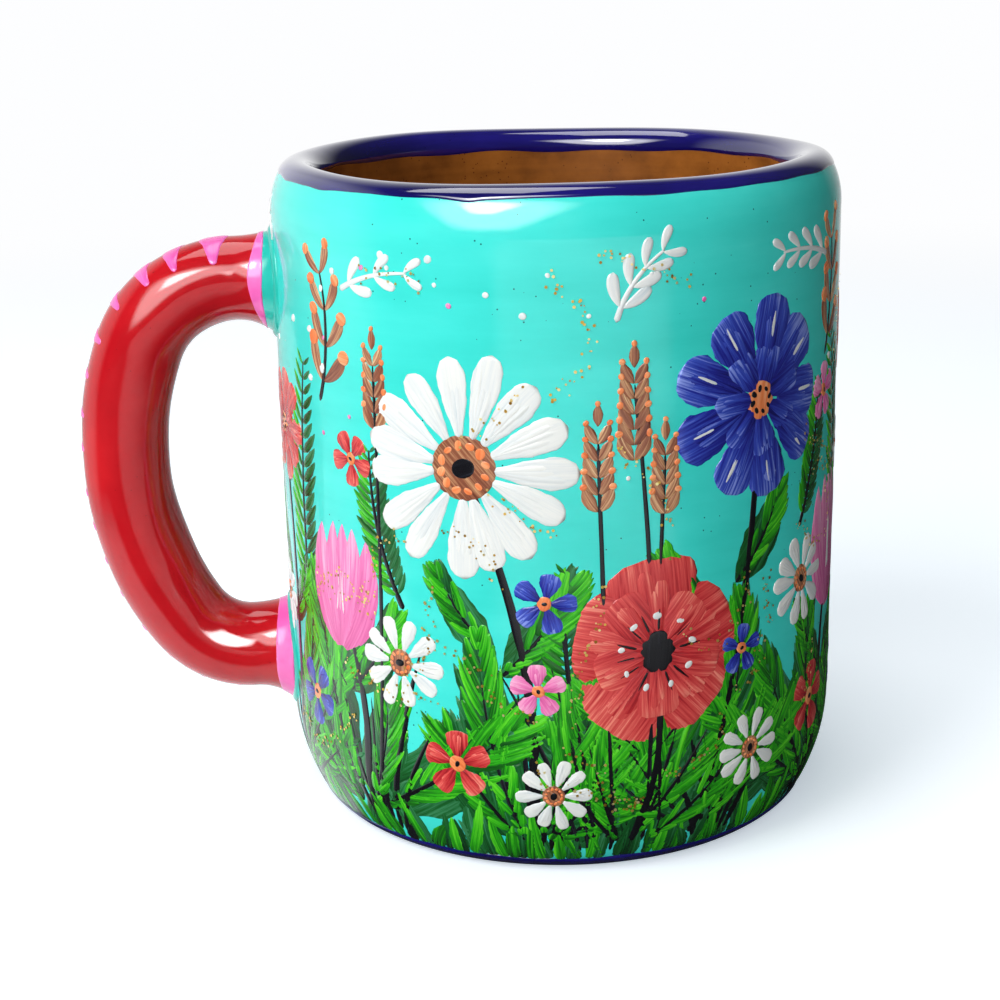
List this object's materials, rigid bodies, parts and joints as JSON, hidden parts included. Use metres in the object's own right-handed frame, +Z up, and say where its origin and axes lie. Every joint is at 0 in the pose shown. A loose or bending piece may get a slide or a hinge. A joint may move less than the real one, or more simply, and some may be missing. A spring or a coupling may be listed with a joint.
{
  "type": "painted clay mug",
  "caption": "Straight-sided painted clay mug with a rounded heel, a fat cobalt lip, a glazed brown inside and an ear-shaped red handle with pink strokes.",
  "frame": {"origin": "centre of the flat foot, on the table", "axes": "+Z up along the cup's axis, -X towards the handle"},
  "size_m": [0.1172, 0.086, 0.1],
  "materials": {
    "clay": "bare fired clay",
    "slip": "painted slip, high gloss",
    "liner": "honey-brown glaze, high gloss",
    "turquoise": "paint under high gloss",
    "cobalt": "paint under high gloss",
    "red": "paint under high gloss",
    "pink": "paint under high gloss"
  },
  "bodies": {
    "root": {"cup": "clay", "handle": "clay", "upper_slip_joint": "slip", "lower_slip_joint": "slip", "liner_glaze": "liner", "ground_coat": "turquoise", "rim_band": "cobalt", "foot_band": "cobalt", "handle_coat": "red", "upper_collar": "pink", "lower_collar": "pink", "handle_strokes": "pink"}
  },
  "joints": []
}
